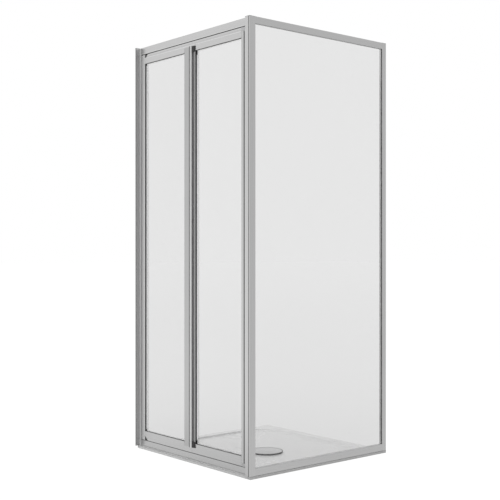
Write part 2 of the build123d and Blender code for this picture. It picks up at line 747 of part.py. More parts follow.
pivot_pin_length = carrier_height + pivot_entry - 2 * edge_round
with BuildPart() as pivot_pins:
    with Locations((pivot_x, mid_y, leaf_head - carrier_height)):
        Cylinder(pin_radius, pivot_pin_length + leaf_head_gap,
                 align=(Align.CENTER, Align.CENTER, Align.MIN))
    with Locations((pivot_x, mid_y, leaf_foot + carrier_height)):
        Cylinder(pin_radius, pivot_pin_length + leaf_foot - sill_top,
                 align=(Align.CENTER, Align.CENTER, Align.MAX))
    chamfer(pivot_pins.edges().filter_by(GeomType.CIRCLE), edge_round)
save(pivot_pins, "pivot_pins")

# Screws through the face of the pivot stile hold the carriers.
with BuildPart() as pivot_screws:
    for z in (leaf_foot + pivot_screw_inset, leaf_head - pivot_screw_inset):
        with BuildSketch(Plane.XZ.offset(leaf_camber - face_y)):
            with Locations(((leaf_1_edge_x + leaf_1_glass_left) / 2, z)):
                Circle(pivot_screw_head)
        extrude(amount=pivot_screw_head_height)
    fillet(pivot_screws.edges().group_by(Axis.Y)[0], edge_round)
    for z in (leaf_foot + pivot_screw_inset, leaf_head - pivot_screw_inset):
        with BuildSketch(Plane.XZ.offset(leaf_camber + pivot_screw_head_height - face_y)):
            with Locations(((leaf_1_edge_x + leaf_1_glass_left) / 2, z)):
                Circle(pivot_screw_recess)
        extrude(amount=-pivot_screw_head_height / 2, mode=Mode.SUBTRACT)
save(pivot_screws, "pivot_screws")

# The knuckle: a tube on a foot and web along the inner edge of leaf 1, between the hinge blocks.
tube_foot = knuckle_low + block_height + knuckle_play
tube_head = knuckle_high - block_height - knuckle_play
web_rear_y = face_y + knuckle_web_setback + knuckle_web
with BuildPart() as knuckle:
    with BuildSketch(Plane.XY.offset(tube_foot)):
        with Locations((hinge_x, hinge_y)):
            Circle(knuckle_radius)
        with Locations((hinge_x - knuckle_foot_width / 2 + edge_round, (hinge_y + web_rear_y) / 2)):
            Rectangle(knuckle_foot_width, web_rear_y - hinge_y)
        with Locations(((leaf_1_inner_x + hinge_x) / 2, web_rear_y - knuckle_web / 2)):
            Rectangle(hinge_x - leaf_1_inner_x, knuckle_web)
        with Locations((hinge_x, hinge_y)):
            Circle(knuckle_bore, mode=Mode.SUBTRACT)
    extrude(amount=tube_head - tube_foot)
save(knuckle, "knuckle_tube")

with BuildPart() as bushes:
    with Locations((hinge_x, hinge_y, tube_foot), (hinge_x, hinge_y, tube_head - bush_length)):
        Cylinder(knuckle_bore - pin_seat_play, bush_length,
                 align=(Align.CENTER, Align.CENTER, Align.MIN))
    with Locations((hinge_x, hinge_y)):
        Cylinder(pin_radius + pin_play, cabin_height, mode=Mode.SUBTRACT,
                 align=(Align.CENTER, Align.CENTER, Align.MIN))
save(bushes, "hinge_bushes")

# A soft strip closes the slit behind the knuckle.
with BuildPart() as hinge_seal:
    seal_left = leaf_1_inner_x
    seal_right = leaf_2_inner_x - knuckle_play
    with BuildSketch(Plane.XY.offset(bar_head + slip)):
        with Locations(((seal_left + seal_right) / 2, face_y + hinge_seal_inset)):
            Rectangle(seal_right - seal_left, hinge_seal_thickness)
    extrude(amount=cap_foot - bar_head - 2 * slip)
save(hinge_seal, "hinge_seal")

# Hinge blocks hold the heads of the hinge pins and are fixed to the face of leaf 2.
with BuildPart() as hinge_blocks:
    for block_foot in (knuckle_low, knuckle_high - block_height):
        with BuildSketch(Plane.XY.offset(block_foot)):
            with BuildLine():
                Polyline(
                    (hinge_x + pin_core, hinge_y),
                    (hinge_x + knuckle_radius, hinge_y - block_nose),
                    (hinge_x + block_reach, face_y - block_toe),
                    (hinge_x + block_reach, face_y - bead_stand_out),
                    (leaf_2_inner_x, face_y - bead_stand_out),
                    (leaf_2_inner_x - slip, hinge_y + knuckle_radius),
                    (hinge_x + pin_core, hinge_y + knuckle_radius),
                    close=True)
            make_face()
            with Locations((hinge_x, hinge_y)):
                Circle(knuckle_radius + pin_seat_play, mode=Mode.SUBTRACT)
        extrude(amount=block_height)
save(hinge_blocks, "hinge_blocks")

# The hinge pins: a round head in each block and a journal in the knuckle's bush.
journal = bush_length + knuckle_play - edge_round
with BuildPart() as hinge_pins:
    for head_foot, journal_foot in ((knuckle_low, knuckle_low + block_height),
                                    (knuckle_high - block_height, knuckle_high - block_height - journal)):
        with Locations((hinge_x, hinge_y, head_foot)):
            Cylinder(knuckle_radius, block_height, align=(Align.CENTER, Align.CENTER, Align.MIN))
        with Locations((hinge_x, hinge_y, journal_foot)):
            Cylinder(pin_radius, journal, align=(Align.CENTER, Align.CENTER, Align.MIN))
save(hinge_pins, "hinge_pins")

# The magnetic strip stands out of the closing stile.
with BuildPart() as magnet:
    with BuildSketch(Plane.XY.offset(strip_foot)):
        with Locations((magnet_x - (magnet_stand_out + magnet_root_depth) / 2, mid_y)):
            Rectangle(magnet_stand_out + magnet_root_depth, strip_width)
        fillet(vertices().group_by(Axis.X)[-1], edge_round)
    extrude(amount=strip_head - strip_foot)
save(magnet, "magnetic_strip")

# Guide carriers end the closing stile at foot and head and hold the guide pins.
with BuildPart() as guide_carriers:
    for carrier_foot, height in ((leaf_foot, guide_carrier_foot),
                                 (leaf_head - guide_carrier_head, guide_carrier_head)):
        with BuildSketch(Plane.XY.offset(carrier_foot)):
            with Locations(((closing_x + leaf_2_glass_right) / 2, mid_y)):
                Rectangle(closing_stile_width, leaf_thickness)
            fillet(vertices().group_by(Axis.X)[-1], closing_round)
            fillet(vertices().group_by(Axis.X)[0], edge_round)
            with Locations((guide_x, track_y)):
                Circle(pin_radius + pin_seat_play, mode=Mode.SUBTRACT)
        extrude(amount=height)
save(guide_carriers, "guide_carriers")

# Guide pins, each with a collar and a head that keep its roller at the height of the track.
top_roller_foot = header_foot + roller_lift
bottom_roller_foot = sill_top - roller_head - 2 * slip - roller_height
with BuildPart() as guide_pins:
    pin_foot = leaf_head - guide_carrier_head - bush_length
    pin_head = top_roller_foot + roller_height + slip + roller_head
    with Locations((guide_x, track_y, pin_foot)):
        Cylinder(pin_radius, pin_head - pin_foot, align=(Align.CENTER, Align.CENTER, Align.MIN))
    pin_foot = bottom_roller_foot - slip - roller_head
    pin_head = leaf_foot + guide_carrier_foot + bush_length
    with Locations((guide_x, track_y, pin_foot)):
        Cylinder(pin_radius, pin_head - pin_foot, align=(Align.CENTER, Align.CENTER, Align.MIN))
    for roller_foot in (top_roller_foot, bottom_roller_foot):
        with Locations((guide_x, track_y, roller_foot - slip - roller_head),
                       (guide_x, track_y, roller_foot + roller_height + slip)):
            Cylinder(roller_head_radius, roller_head, align=(Align.CENTER, Align.CENTER, Align.MIN))
save(guide_pins, "guide_pins")

rollers = (("top_guide_roller", top_roller_foot), ("bottom_guide_roller", bottom_roller_foot))
for name, roller_foot in rollers:
    with BuildPart() as roller:
        with Locations((guide_x, track_y, roller_foot)):
            Cylinder(roller_radius, roller_height, align=(Align.CENTER, Align.CENTER, Align.MIN))
        fillet(roller.edges().filter_by(GeomType.CIRCLE), roller_round)
        with Locations((guide_x, track_y)):
            Cylinder(pin_radius + pin_play, cabin_height, mode=Mode.SUBTRACT,
                     align=(Align.CENTER, Align.CENTER, Align.MIN))
    save(roller, name)
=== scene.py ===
"""Finishes, small fittings and studio of a corner shower cabin with a bifold door."""

import math

import bmesh
import bpy
from bpy.props import FloatProperty, FloatVectorProperty, PointerProperty
from bpy.types import Operator, Panel, PropertyGroup
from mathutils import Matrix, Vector


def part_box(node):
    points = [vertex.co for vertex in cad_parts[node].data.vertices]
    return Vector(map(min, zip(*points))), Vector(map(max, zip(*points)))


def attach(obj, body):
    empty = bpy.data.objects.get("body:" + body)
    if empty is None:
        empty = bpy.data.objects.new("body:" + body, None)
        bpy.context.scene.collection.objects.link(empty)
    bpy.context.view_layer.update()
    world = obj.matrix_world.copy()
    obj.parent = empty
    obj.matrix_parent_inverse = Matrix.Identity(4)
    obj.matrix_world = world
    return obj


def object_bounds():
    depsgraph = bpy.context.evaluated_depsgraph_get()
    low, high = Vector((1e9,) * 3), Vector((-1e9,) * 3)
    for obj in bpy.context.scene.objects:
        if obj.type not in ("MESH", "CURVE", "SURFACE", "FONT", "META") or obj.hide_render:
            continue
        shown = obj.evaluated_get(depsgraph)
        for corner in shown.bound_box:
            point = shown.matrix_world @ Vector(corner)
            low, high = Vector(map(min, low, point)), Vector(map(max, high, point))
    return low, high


bl_info = {
    "name": "Corner Shower Cabin",
    "version": (1, 0, 0),
    "blender": (4, 5, 0),
    "location": "View3D > Sidebar > Shower Cabin",
    "description": "Finishes the cabin's profiles, glass, tray and fittings, and sets its studio",
    "category": "Object",
}

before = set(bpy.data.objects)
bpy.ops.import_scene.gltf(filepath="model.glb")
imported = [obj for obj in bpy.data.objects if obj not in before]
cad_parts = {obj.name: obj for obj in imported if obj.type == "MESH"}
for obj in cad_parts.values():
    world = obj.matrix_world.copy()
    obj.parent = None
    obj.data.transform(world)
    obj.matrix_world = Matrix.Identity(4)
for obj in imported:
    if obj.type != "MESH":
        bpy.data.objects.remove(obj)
cad_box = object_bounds()

# CAD nodes that share a finish.
FRAME_UPRIGHTS = ("corner_post", "strike_profile", "panel_wall_profile")
LEAF_UPRIGHTS = ("leaf_2_closing_stile",)
LEAF_BOTTOM_RAILS = ("leaf_1_bottom_rail", "leaf_2_bottom_rail")
KNUCKLE = ("knuckle_tube", "hinge_pins")
DOOR_SIDE_PROFILES = (
    "header_track", "leaf_1_top_rail", "leaf_1_cap", "leaf_2_top_rail", "leaf_2_cap",
)
PANEL_SIDE_PROFILES = ("panel_top_rail", "panel_bottom_rail")
STEEL_FITTINGS = ("jamb_screws", "pivot_pins", "pivot_screws", "guide_pins")
BLACK_FITTINGS = (
    "pivot_blocks", "leaf_1_corner_blocks", "pivot_carriers", "hinge_bushes", "hinge_blocks",
    "waste_cover_stem",
)
SEALS = ("strike_strip", "leaf_1_sweep_seal", "leaf_2_sweep_seal", "magnetic_strip")
LEAF_GASKETS = ("leaf_1_gaskets", "leaf_2_gaskets")
ROLLERS = ("top_guide_roller", "bottom_guide_roller")

# Lengths are in metres, as the frame's are.
MILLIMETRE = 0.001
SLIGHT_PLAY = 0.0001
SMOOTH_BELOW = math.radians(35)
BELOW_ALL = -1.0

# Patterns: features a metre along X, Y and Z, or along and across the grain of a profile.
# PATTERN_SPAN is what nearly all of a noise's values lie in.
PATTERN_SPAN = (0.3, 0.7)
DRAW_LINES = (3, 900)
DRAW_CLOUDS = (1.2, 9)
TURNING_MARKS = (60, 60, 1400)
WIPING_MARKS = (45, 45, 45)
SPARK_GRAIN = (1500, 1500, 1500)
PLASTIC_PATCHES = (30, 30, 30)
RUBBER_BLOOM = (25, 25, 6)
RUBBER_LINES = (1200, 1200, 40)
ACRYLIC_PEEL = (160, 160, 160)
ACRYLIC_TONE = (3, 3, 3)
GLASS_WAVE = (2, 2, 9)
GLASS_WIPES = (7, 7, 4)

# What bends light, and the power of a pane's tint that lamp light takes on.
ACRYLIC_IOR = 1.49
GLASS_IOR = 1.5
LAMP_TINT = 0.5

# The tray's own sizes, the cove over its basin's edge and the joint in the step round it, whose
# grey also paints the shade line between frame and tray.
TRAY_RIM = 0.038
TRAY_FLOOR = 0.0045
BASIN_RADIUS = 0.13
BASIN_CORNERS = ((1, 1), (-1, 1), (-1, -1), (1, -1))
TRAY_STEP = 0.002
TRAY_STEP_HEIGHT = 0.0022
COVE_WIDTH = 0.046
COVE_ROOT_WIDTH = 0.0024
COVE_LAP = 0.0018
COVE_SKIN = 0.00004
COVE_ROOT = 0.0003
COVE_STEPS = 14
CORNER_STEPS = 28

# The black ring under the edge of the waste cover, painted shade for the shadow gap beneath it.
RING_STAND_OUT = 0.0005
RING_WIDTH = 0.003
RING_DROP = 0.0032
RING_HEAD = 0.0028
RING_STEPS = 96

# The black strip of painted shade on the knuckle and its pin heads, and the seal in the gap beside
# them.
KNUCKLE_SHADE_FROM = math.radians(-129)
KNUCKLE_SHADE_TO = math.radians(-84)
KNUCKLE_SHADE_STAND_OUT = 0.0003
KNUCKLE_SHADE_STEPS = 6
HINGE_END = 0.025
HINGE_PLAY = 0.0008
GAP_SEAL_PLAY = 0.0003
GAP_SEAL_FRONT = 0.0006
GAP_SEAL_DEPTH = 0.003

# The black strips of painted shade in the grip groove and the post's groove, the pale strip of
# painted light beside the pivot stile, and the wedge seal beside the panel, dark as painted shade.
GRIP_PLACE = 0.0264
GRIP_LEFT = 0.001
GRIP_RIGHT = 0.004
GRIP_OUT = 0.0002
GRIP_SEAT = 0.0003
POST_GROOVE_PLACE = 0.0058
POST_SHADE_HALF = 0.0015
POST_SHADE_OUT = 0.0002
POST_SHADE_SEAT = 0.0001
PIVOT_LIGHT_PLAY = 0.0006
PIVOT_LIGHT_DEPTH = 0.0024
WEDGE_WIDTH = 0.0014

# The painted shade on the wall profile's nose, and the pale bead of painted light between the
# leaves' gaskets and panes.
NOSE_SHADE_DEPTH = 0.0022
GLAZING_EDGE = 0.0023
GLAZING_FOOT = 0.006
BEAD_PAINTED_LIGHT = 0.4

# The ribs on header and caps, from foot to head, and the corner pieces of the panes.
HEADER_RIB = (0.001, 0.0032)
CAP_RIB = (0.0036, 0.0066)
RIB_OUT = 0.0004
RIB_SEAT = 0.0002
RIB_EASE = 0.0004
CORNER_LIP = 0.0008
CORNER_THICKNESS = 0.0011
CORNER_HEIGHTS = {"leaf_1": 0.007, "leaf_2": 0.018}

# The studio: each lamp's place and size, and the camera's sensor in millimetres.
WHITE = (1.0, 1.0, 1.0)
TOP_LIGHT = ((0.3, -0.3, 5.5), (4.5, 4.5))
KEY_LIGHT = ((-1.8, -4.2, 2.4), (2.6, 2.6))
SIDE_LIGHT = ((-3.4, -3.9, 2.5), (4.6, 4.3))
SENSOR_WIDTH = 36

# What floor and world show: painted shade on the floor near the cabin, seen through glass, and a
# shine off gloss from the left front, on the floor a pool of painted light.
FLOOR_HALF = 60
FLOOR_DROP = 0.2 * MILLIMETRE
FLOOR_GLOW = 1.16
FLOOR_PAINTED_SHADE = 0.23
FLOOR_PAINTED_SHADE_REACH = 2.3
FLOOR_PAINTED_LIGHT = 0.48
FLOOR_PAINTED_LIGHT_REACH = (0.1, 1.5)
SHINE_WAY = (-0.7, -0.714, 0)
WORLD_SHINE = 0.39
WORLD_SHINE_SPAN = (0.72, 0.985)


class CabinFinish(PropertyGroup):
    """Colours and surfaces of the cabin's materials."""
    metal_color: FloatVectorProperty(
        name="Profiles", description="Colour of the frame's profiles and the leaves' top rails",
        subtype="COLOR", size=3, min=0, max=1, default=(0.44, 0.44, 0.44))
    # Painted shade: the closing stile, the hinge stiles, the bottom rails and the sill get darker
    # copies of the profiles' aluminium, for the shade beside the knuckle and towards the floor.
    closing_stile_shaded_color: FloatVectorProperty(
        name="Closing stile", description="Colour of the closing leaf's outer stile",
        subtype="COLOR", size=3, min=0, max=1, default=(0.41, 0.41, 0.41))
    hinge_stile_2_shaded_color: FloatVectorProperty(
        name="Narrow hinge stile",
        description="Colour of the narrow stile at the right of the knuckle",
        subtype="COLOR", size=3, min=0, max=1, default=(0.28, 0.28, 0.28))
    hinge_stile_1_shaded_color: FloatVectorProperty(
        name="Wide hinge stile", description="Colour of the wide stile at the left of the knuckle",
        subtype="COLOR", size=3, min=0, max=1, default=(0.35, 0.35, 0.35))
    # Painted light: the knuckle, the ribs, the wall profile, the pivot stile and the jamb get
    # lighter copies of the profiles' aluminium.
    lit_metal_color: FloatVectorProperty(
        name="Knuckle and wall profile",
        description="Colour of the knuckle, the ribs and the wall profile behind its nose",
        subtype="COLOR", size=3, min=0, max=1, default=(0.56, 0.56, 0.56))
    bottom_rail_shaded_color: FloatVectorProperty(
        name="Bottom rails", description="Colour of the bottom rails of the leaves",
        subtype="COLOR", size=3, min=0, max=1, default=(0.408, 0.408, 0.408))
    sill_shaded_color: FloatVectorProperty(
        name="Sill", description="Colour of the sill track",
        subtype="COLOR", size=3, min=0, max=1, default=(0.395, 0.395, 0.395))
    pivot_stile_lit_color: FloatVectorProperty(
        name="Pivot stile", description="Colour of the stile at the wall side",
        subtype="COLOR", size=3, min=0, max=1, default=(0.49, 0.49, 0.49))
    jamb_lit_color: FloatVectorProperty(
        name="Jamb", description="Colour of the jamb beside the pivot stile",
        subtype="COLOR", size=3, min=0, max=1, default=(0.72, 0.72, 0.72))
    # Painted shade: the wall profile's nose is darker than the rest of the profile.
    nose_shade_color: FloatVectorProperty(
        name="Wall profile nose",
        description="Colour of the foremost edge of the door's wall profile",
        subtype="COLOR", size=3, min=0, max=1, default=(0.22, 0.22, 0.22))
    metal_roughness: FloatProperty(
        name="Profile roughness", description="Roughness of most satin anodised profiles",
        subtype="FACTOR", min=0, max=1, default=0.3)
    dull_roughness: FloatProperty(
        name="Dull profile roughness",
        description="Roughness of the jamb, the pivot stile and the knuckle",
        subtype="FACTOR", min=0, max=1, default=0.5)
    steel_color: FloatVectorProperty(
        name="Screws and pins", description="Colour of the stainless steel screws and pins",
        subtype="COLOR", size=3, min=0, max=1, default=(0.55, 0.55, 0.56))
    chrome_color: FloatVectorProperty(
        name="Waste", description="Colour of the polished waste flange and strainer",
        subtype="COLOR", size=3, min=0, max=1, default=(0.78, 0.78, 0.79))
    cover_color: FloatVectorProperty(
        name="Waste cover", description="Colour of the satin chromed waste cover",
        subtype="COLOR", size=3, min=0, max=1, default=(0.5, 0.5, 0.505))
    panel_glass_color: FloatVectorProperty(
        name="Panel glass", description="What the side panel's pane lets through of white light",
        subtype="COLOR", size=3, min=0, max=1, default=(0.783, 0.783, 0.783))
    # Painted shade: the leaves' panes are darker copies of the panel's glass.
    leaf_2_glass_shaded_color: FloatVectorProperty(
        name="Leaf 2 glass", description="What the closing leaf's pane lets through of white light",
        subtype="COLOR", size=3, min=0, max=1, default=(0.757, 0.757, 0.757))
    leaf_1_glass_shaded_color: FloatVectorProperty(
        name="Leaf 1 glass",
        description="What the pane of the leaf at the wall lets through of white light",
        subtype="COLOR", size=3, min=0, max=1, default=(0.742, 0.742, 0.742))
    acrylic_color: FloatVectorProperty(
        name="Tray", description="Colour of the white sanitary acrylic",
        subtype="COLOR", size=3, min=0, max=1, default=(0.82, 0.82, 0.82))
    black_color: FloatVectorProperty(
        name="Black plastic", description="Colour of the black polyamide fittings",
        subtype="COLOR", size=3, min=0, max=1, default=(0.012, 0.012, 0.012))
    grey_color: FloatVectorProperty(
        name="Grey plastic", description="Colour of the carriers of the guide pins",
        subtype="COLOR", size=3, min=0, max=1, default=(0.66, 0.66, 0.665))
    cap_color: FloatVectorProperty(
        name="End caps", description="Colour of the end caps of the profiles",
        subtype="COLOR", size=3, min=0, max=1, default=(0.36, 0.36, 0.364))
    nylon_color: FloatVectorProperty(
        name="Rollers", description="Colour of the white nylon rollers",
        subtype="COLOR", size=3, min=0, max=1, default=(0.76, 0.76, 0.74))
    rubber_color: FloatVectorProperty(
        name="Seals", description="Colour of the dark grey rubber of seals and leaf gaskets",
        subtype="COLOR", size=3, min=0, max=1, default=(0.075, 0.075, 0.076))
    hinge_seal_color: FloatVectorProperty(
        name="Hinge seal", description="Colour of the soft strips behind and beside the knuckle",
        subtype="COLOR", size=3, min=0, max=1, default=(0.52, 0.52, 0.52))
    # Painted light: the pale bead next to the leaves' glass, with its glow, lights up the shaded
    # reveal there.
    glazing_lit_edge_color: FloatVectorProperty(
        name="Glazing edge",
        description="Colour of the pale bead between a leaf's gasket and its glass",
        subtype="COLOR", size=3, min=0, max=1, default=(0.95, 0.95, 0.95))
    # The panel's seals are pale of their own; the same pale strip beside the pivot stile is painted
    # light in its shaded gap.
    pale_seal_and_light_color: FloatVectorProperty(
        name="Pale seals",
        description="Colour of the seals round the side panel's glass and at the pivot stile",
        subtype="COLOR", size=3, min=0, max=1, default=(0.88, 0.88, 0.88))
    # A real sealing joint whose grey also paints the shade line between the frame and the tray.
    joint_shade_color: FloatVectorProperty(
        name="Tray joint", description="Colour of the sealing joint in the step round the tray",
        subtype="COLOR", size=3, min=0, max=1, default=(0.5, 0.5, 0.5))
    # Painted shade: the black strips in grooves, on the knuckle and beside the panel, and the ring
    # under the waste cover.
    shade_strip_color: FloatVectorProperty(
        name="Dark seals",
        description="Colour of the dark strips in grooves and the ring under the waste cover",
        subtype="COLOR", size=3, min=0, max=1, default=(0.012, 0.012, 0.012))


class CabinStudio(PropertyGroup):
    """Camera, lamps and floor."""
    azimuth: FloatProperty(
        name="Azimuth", description="How far the camera has gone round from the door side",
        subtype="ANGLE", default=math.radians(50))
    distance: FloatProperty(
        name="Distance", description="From the camera to the cabin's free corner, along its view",
        unit="LENGTH", min=0.5, default=3.769)
    side_step: FloatProperty(
        name="Side step",
        description="How far the free corner lies to the right of the view's middle",
        unit="LENGTH", default=0.0016)
    height: FloatProperty(
        name="Camera height", description="Height of the level camera above the floor",
        unit="LENGTH", default=0.9104)
    lens: FloatProperty(
        name="Lens", description="Focal length on a sensor 36 mm wide",
        unit="CAMERA", min=10, default=68.2)
    rise: FloatProperty(
        name="Shift", description="Vertical shift of the lens, a share of the picture's width",
        default=0.0026)
    ambient: FloatProperty(
        name="Ambient", description="Strength of the even light from all round",
        min=0, max=2, default=0.31)
    top_power: FloatProperty(
        name="Top light", description="Power of the large soft light overhead",
        unit="POWER", min=0, default=208)
    key_power: FloatProperty(
        name="Key light", description="Power of the soft light in front of the door",
        unit="POWER", min=0, default=30)
    side_power: FloatProperty(
        name="Side light",
        description="Power of the soft light at the left that shines in the door's metal",
        unit="POWER", min=0, default=24)
    floor_color: FloatVectorProperty(
        name="Floor", description="Colour of the pale floor",
        subtype="COLOR", size=3, min=0, max=1, default=(0.5, 0.5, 0.5))
    floor_whiteness: FloatProperty(
        name="Floor whiteness",
        description="How far the floor shows plain white, with a fainter shadow",
        subtype="FACTOR", min=0, max=1, default=0.85)


def settings():
    """The cabin's settings in the scene."""
    return bpy.context.scene.shower_cabin


def node_material(name):
    """A new material with one Principled shader on its output."""
    material = bpy.data.materials.new(name)
    material.use_nodes = True
    tree = material.node_tree
    tree.nodes.clear()
    output = tree.nodes.new("ShaderNodeOutputMaterial")
    shader = tree.nodes.new("ShaderNodeBsdfPrincipled")
    tree.links.new(shader.outputs["BSDF"], output.inputs["Surface"])
    return material, tree, shader


def noise(tree, per_metre, detail, roughness=0.5):
    """Noise with its own number of features a metre along X, Y and Z of the object."""
    place = tree.nodes.new("ShaderNodeTexCoord")
    mapping = tree.nodes.new("ShaderNodeMapping")
    mapping.inputs["Scale"].default_value = per_metre
    pattern = tree.nodes.new("ShaderNodeTexNoise")
    pattern.inputs["Scale"].default_value = 1
    pattern.inputs["Detail"].default_value = detail
    pattern.inputs["Roughness"].default_value = roughness
    tree.links.new(place.outputs["Object"], mapping.inputs["Vector"])
    tree.links.new(mapping.outputs["Vector"], pattern.inputs["Vector"])
    return pattern.outputs["Fac"]


def spread(tree, value, low, high, of=PATTERN_SPAN):
    """Maps a value's range, a pattern's usual one unless it is given, to low and high."""
    ranged = tree.nodes.new("ShaderNodeMapRange")
    ranged.inputs["From Min"].default_value, ranged.inputs["From Max"].default_value = of
    ranged.inputs["To Min"].default_value, ranged.inputs["To Max"].default_value = low, high
    tree.links.new(value, ranged.inputs["Value"])
    return ranged.outputs["Result"]


def calc(tree, operation, *values):
    """The output of a math node fed with numbers and sockets."""
    node = tree.nodes.new("ShaderNodeMath")
    node.operation = operation
    for socket, value in zip(node.inputs, values):
        if isinstance(value, (int, float)):
            socket.default_value = value
        else:
            tree.links.new(value, socket)
    return node.outputs[0]


def distance_along(tree, output, way):
    """How far a place or direction, an output of the texture coordinates, goes that way."""
    coordinates = tree.nodes.new("ShaderNodeTexCoord")
    product = tree.nodes.new("ShaderNodeVectorMath")
    product.operation = "DOT_PRODUCT"
    product.inputs[1].default_value = way
    tree.links.new(coordinates.outputs[output], product.inputs[0])
    return product.outputs["Value"]


def mirrored(tree):
    """1 for rays off gloss and 0 for those through glass and the rest."""
    path = tree.nodes.new("ShaderNodeLightPath")
    gloss, glass = path.outputs["Is Glossy Ray"], path.outputs["Is Transmission Ray"]
    return calc(tree, "SUBTRACT", gloss, glass)


def seen_directly(tree):
    """1 for rays from the camera, off gloss and through glass, and 0 for the light's bounces."""
    path = tree.nodes.new("ShaderNodeLightPath")
    camera_or_gloss = calc(
        tree, "MAXIMUM", path.outputs["Is Camera Ray"], path.outputs["Is Glossy Ray"])
    return calc(tree, "MAXIMUM", camera_or_gloss, path.outputs["Is Transmission Ray"])


def shade(tree, value, color, dark, light):
    """A colour that runs with a pattern from color times dark to color times light."""
    mix = tree.nodes.new("ShaderNodeMix")
    mix.data_type = "RGBA"
    mix.inputs["A"].default_value = [c * dark for c in color] + [1]
    mix.inputs["B"].default_value = [min(c * light, 1) for c in color] + [1]
    tree.links.new(spread(tree, value, 0, 1), mix.inputs["Factor"])
    return mix.outputs["Result"]


def bump(tree, shader, height, depth, strength):
    """Gives a shader the relief of a pattern."""
    relief = tree.nodes.new("ShaderNodeBump")
    relief.inputs["Strength"].default_value = strength
    relief.inputs["Distance"].default_value = depth
    tree.links.new(height, relief.inputs["Height"])
    tree.links.new(relief.outputs["Normal"], shader.inputs["Normal"])


def cover_with(tree, shader, other, share):
    """Puts another shader over the Principled one, by a share."""
    mix = tree.nodes.new("ShaderNodeMixShader")
    output = next(n for n in tree.nodes if n.type == "OUTPUT_MATERIAL")
    tree.links.new(share, mix.inputs["Fac"])
    tree.links.new(shader.outputs["BSDF"], mix.inputs[1])
    tree.links.new(other, mix.inputs[2])
    tree.links.new(mix.outputs["Shader"], output.inputs["Surface"])


def surface(tree, shader, color, roughness):
    """Feeds a shader's colour and roughness."""
    tree.links.new(color, shader.inputs["Base Color"])
    tree.links.new(roughness, shader.inputs["Roughness"])


def satin_metal(name, grain, color, roughness):
    """Anodised aluminium: fine draw lines along the grain's axis and a slow cloudiness."""
    material, tree, shader = node_material(name)
    lines, clouds = ([with_grain if axis == grain else across for axis in "XYZ"]
                     for with_grain, across in (DRAW_LINES, DRAW_CLOUDS))
    drawn = noise(tree, lines, detail=2)
    cloudy = noise(tree, clouds, detail=2)
    surface(tree, shader, shade(tree, cloudy, color, dark=0.97, light=1.03),
            spread(tree, drawn, low=roughness - 0.04, high=roughness + 0.05))
    shader.inputs["Metallic"].default_value = 1
    bump(tree, shader, drawn, depth=0.02 * MILLIMETRE, strength=0.5)
    return material


def turned_metal(name, color, roughness, lacquer=0):
    """Turned or polished metal with faint rings and wiping marks, and lacquer where it has any."""
    material, tree, shader = node_material(name)
    marks = noise(tree, TURNING_MARKS, detail=3)
    wiped = noise(tree, WIPING_MARKS, detail=4)
    surface(tree, shader, shade(tree, wiped, color, dark=0.96, light=1.03),
            spread(tree, wiped, low=roughness * 0.8, high=roughness * 1.25))
    shader.inputs["Metallic"].default_value = 1
    shader.inputs["Coat Weight"].default_value = lacquer
    shader.inputs["Coat Roughness"].default_value = roughness
    bump(tree, shader, marks, depth=0.01 * MILLIMETRE, strength=0.5)
    return material


def moulded_plastic(name, color, roughness):
    """Moulded plastic with a fine spark-eroded grain."""
    material, tree, shader = node_material(name)
    grains = noise(tree, SPARK_GRAIN, detail=3, roughness=0.6)
    patches = noise(tree, PLASTIC_PATCHES, detail=3)
    surface(tree, shader, shade(tree, patches, color, dark=0.93, light=1.08),
            spread(tree, grains, low=roughness - 0.06, high=roughness + 0.06))
    bump(tree, shader, grains, depth=0.03 * MILLIMETRE, strength=0.6)
    return material


def sealing_rubber(name, color):
    """Soft rubber: dull, with fine lines from its die and a little bloom."""
    material, tree, shader = node_material(name)
    bloom = noise(tree, RUBBER_BLOOM, detail=4)
    lines = noise(tree, RUBBER_LINES, detail=2)
    surface(tree, shader, shade(tree, bloom, color, dark=0.85, light=1.25),
            spread(tree, bloom, low=0.55, high=0.7))
    bump(tree, shader, lines, depth=0.03 * MILLIMETRE, strength=0.5)
    return material


def paint_light_or_shade_behind(material, color, place, width, above=BELOW_ALL, glow=0):
    """Paints light or shade on a material: another colour, and a glow, behind a place along Y and
    above a height.
    """
    tree = material.node_tree
    shader = next(n for n in tree.nodes if n.type == "BSDF_PRINCIPLED")
    coordinates = tree.nodes.new("ShaderNodeTexCoord")
    axes = tree.nodes.new("ShaderNodeSeparateXYZ")
    mix = tree.nodes.new("ShaderNodeMix")
    mix.data_type = "RGBA"
    mix.inputs["B"].default_value = [*color, 1]
    tree.links.new(coordinates.outputs["Object"], axes.inputs["Vector"])
    behind = spread(tree, axes.outputs["Y"], 0, 1, of=(place, place + width))
    higher = spread(tree, axes.outputs["Z"], 0, 1, of=(above, above + MILLIMETRE))
    share = calc(tree, "MULTIPLY", behind, higher)
    tree.links.new(share, mix.inputs["Factor"])
    tree.links.new(shader.inputs["Base Color"].links[0].from_socket, mix.inputs["A"])
    tree.links.new(mix.outputs["Result"], shader.inputs["Base Color"])
    shader.inputs["Emission Color"].default_value = (*WHITE, 1)
    tree.links.new(calc(tree, "MULTIPLY", share, glow), shader.inputs["Emission Strength"])


def sanitary_acrylic(name, color):
    """White acrylic: glossy, a trace of orange peel and a slow unevenness of tone."""
    material, tree, shader = node_material(name)
    peel = noise(tree, ACRYLIC_PEEL, detail=2)
    tone = noise(tree, ACRYLIC_TONE, detail=3)
    surface(tree, shader, shade(tree, tone, color, dark=0.99, light=1.01),
            spread(tree, tone, low=0.2, high=0.3))
    shader.inputs["IOR"].default_value = ACRYLIC_IOR
    bump(tree, shader, peel, depth=0.03 * MILLIMETRE, strength=0.4)
    return material


